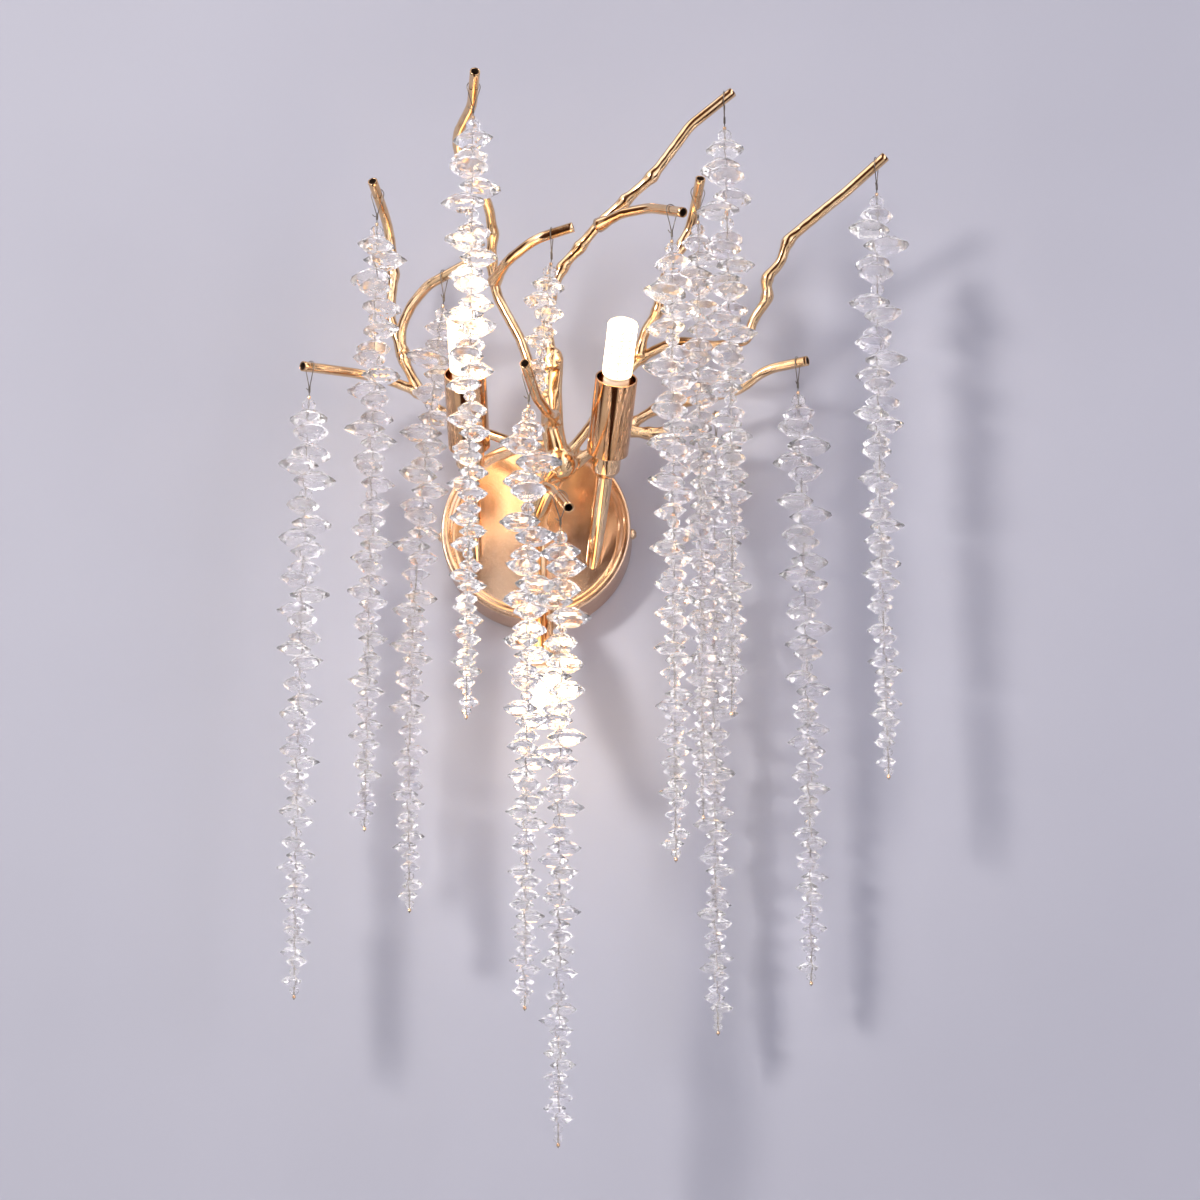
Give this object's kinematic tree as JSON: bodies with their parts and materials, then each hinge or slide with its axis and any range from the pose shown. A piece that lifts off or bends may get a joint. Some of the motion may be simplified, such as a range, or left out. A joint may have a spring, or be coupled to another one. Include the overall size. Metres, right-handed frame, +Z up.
{
  "type": "wall sconce",
  "caption": "Wall sconce with a round canopy, branching gold twigs that carry swinging strings of faceted crystals, and tubular cups for pin-base capsule lamps.",
  "frame": {"origin": "centre of the canopy on the wall plane, midway between the wall bracket's slots", "axes": "+Z up, +Y into the wall, -Y out into the room, +X to the viewer's right"},
  "size_m": [0.3946, 0.1992, 0.6638],
  "materials": {
    "satin_gold": "satin plated steel",
    "polished_gold": "polished plate",
    "zinc_steel": "zinc plated",
    "white_plastic": "moulded nylon",
    "lead_sleeve": "silicone sleeve",
    "white_ceramic": "glazed steatite",
    "lamp_glow": "frosted, lit from inside",
    "crystal": "polished facets",
    "string_wire": "drawn wire with gold crimps"
  },
  "bodies": {
    "fixture": {"arm_collars": "polished_gold", "branch_center_twig": "polished_gold", "branch_far_left": "polished_gold", "branch_far_right": "polished_gold", "branch_front_arch": "polished_gold", "branch_front_stub": "polished_gold", "branch_left_fork": "polished_gold", "branch_left_upright": "polished_gold", "branch_lower_right": "polished_gold", "branch_right_twig": "polished_gold", "branch_right_upright": "polished_gold", "branch_top_left": "polished_gold", "branch_top_right": "polished_gold", "branch_top_right_fork": "polished_gold", "canopy": "satin_gold", "canopy_side_screws": "polished_gold", "earth_screw": "zinc_steel", "hub_bolt": "zinc_steel", "hub_casting": "polished_gold", "lamp_arms": "polished_gold", "lamp_cup_left": "polished_gold", "lamp_cup_lower": "polished_gold", "lamp_cup_right": "polished_gold", "lamp_holders": "white_ceramic", "lamp_leads": "lead_sleeve", "terminal_block": "white_plastic", "trunk": "polished_gold", "wall_bracket": "zinc_steel"},
    "bulb_left": {"bulb_left_base": "white_ceramic", "bulb_left_capsule": "lamp_glow"},
    "bulb_right": {"bulb_right_base": "white_ceramic", "bulb_right_capsule": "lamp_glow"},
    "bulb_lower": {"bulb_lower_base": "white_ceramic", "bulb_lower_capsule": "lamp_glow"},
    "string_01": {"string_01_wire": "string_wire", "string_01_crystals": "crystal"},
    "string_02": {"string_02_wire": "string_wire", "string_02_crystals": "crystal"},
    "string_03": {"string_03_wire": "string_wire", "string_03_crystals": "crystal"},
    "string_04": {"string_04_wire": "string_wire", "string_04_crystals": "crystal"},
    "string_05": {"string_05_wire": "string_wire", "string_05_crystals": "crystal"},
    "string_06": {"string_06_wire": "string_wire", "string_06_crystals": "crystal"},
    "string_07": {"string_07_wire": "string_wire", "string_07_crystals": "crystal"},
    "string_08": {"string_08_wire": "string_wire", "string_08_crystals": "crystal"},
    "string_09": {"string_09_wire": "string_wire", "string_09_crystals": "crystal"},
    "string_10": {"string_10_wire": "string_wire", "string_10_crystals": "crystal"},
    "string_11": {"string_11_wire": "string_wire", "string_11_crystals": "crystal"},
    "string_12": {"string_12_wire": "string_wire", "string_12_crystals": "crystal"},
    "string_13": {"string_13_wire": "string_wire", "string_13_crystals": "crystal"}
  },
  "joints": [
    {"name": "bulb_left_pull", "type": "slide", "parent": "fixture", "child": "bulb_left", "axis": [0, -0.7547, 0.6561], "range_m": [0, 0.01]},
    {"name": "bulb_right_pull", "type": "slide", "parent": "fixture", "child": "bulb_right", "axis": [0.1395, -0.7179, 0.682], "range_m": [0, 0.01]},
    {"name": "bulb_lower_pull", "type": "slide", "parent": "fixture", "child": "bulb_lower", "axis": [0.0409, -0.4677, -0.8829], "range_m": [0, 0.01]},
    {"name": "string_01_swing", "type": "hinge", "parent": "fixture", "child": "string_01", "pos_m": [-0.13896, -0.07768, 0.09098], "axis": [-0.6832, -0.7303, 0], "range_deg": [-8, 8]},
    {"name": "string_02_swing", "type": "hinge", "parent": "fixture", "child": "string_02", "pos_m": [-0.09884, -0.0762, 0.20825], "axis": [-0.1961, -0.9806, 0], "range_deg": [-2, 0.8]},
    {"name": "string_03_swing", "type": "hinge", "parent": "fixture", "child": "string_03", "pos_m": [-0.05567, -0.07512, 0.15206], "axis": [0.8603, -0.5098, 0], "range_deg": [-1, 5.5]},
    {"name": "string_04_swing", "type": "hinge", "parent": "fixture", "child": "string_04", "pos_m": [-0.02983, -0.17874, 0.23289], "axis": [0.1366, -0.9906, 0], "range_deg": [-10, 2]},
    {"name": "string_05_swing", "type": "hinge", "parent": "fixture", "child": "string_05", "pos_m": [0.01459, -0.11477, 0.16265], "axis": [0.9864, -0.1644, 0], "range_deg": [-6, 6]},
    {"name": "string_06_swing", "type": "hinge", "parent": "fixture", "child": "string_06", "pos_m": [0.00369, -0.15651, 0.05296], "axis": [-0.1455, -0.9894, 0], "range_deg": [-10, 10]},
    {"name": "string_07_swing", "type": "hinge", "parent": "fixture", "child": "string_07", "pos_m": [0.02108, -0.12284, -0.01357], "axis": [0.326, -0.9454, 0], "range_deg": [-4, 10]},
    {"name": "string_08_swing", "type": "hinge", "parent": "fixture", "child": "string_08", "pos_m": [0.10507, -0.08184, 0.20322], "axis": [0.206, -0.9785, 0], "range_deg": [-8, 10]},
    {"name": "string_09_swing", "type": "hinge", "parent": "fixture", "child": "string_09", "pos_m": [0.08976, -0.14173, 0.16482], "axis": [0.6585, -0.7526, 0], "range_deg": [-3, 3]},
    {"name": "string_10_swing", "type": "hinge", "parent": "fixture", "child": "string_10", "pos_m": [0.12258, -0.1186, 0.25059], "axis": [-0.9973, 0.0739, 0], "range_deg": [-5, 10]},
    {"name": "string_11_swing", "type": "hinge", "parent": "fixture", "child": "string_11", "pos_m": [0.21796, -0.08221, 0.22007], "axis": [0.9588, -0.2841, 0], "range_deg": [-10, 9]},
    {"name": "string_12_swing", "type": "hinge", "parent": "fixture", "child": "string_12", "pos_m": [0.16661, -0.04416, 0.10176], "axis": [0.9138, -0.4061, 0], "range_deg": [-10, 4]},
    {"name": "string_13_swing", "type": "hinge", "parent": "fixture", "child": "string_13", "pos_m": [0.11468, -0.04437, 0.06581], "axis": [-0.9536, 0.3011, 0], "range_deg": [-3, 3]}
  ]
}
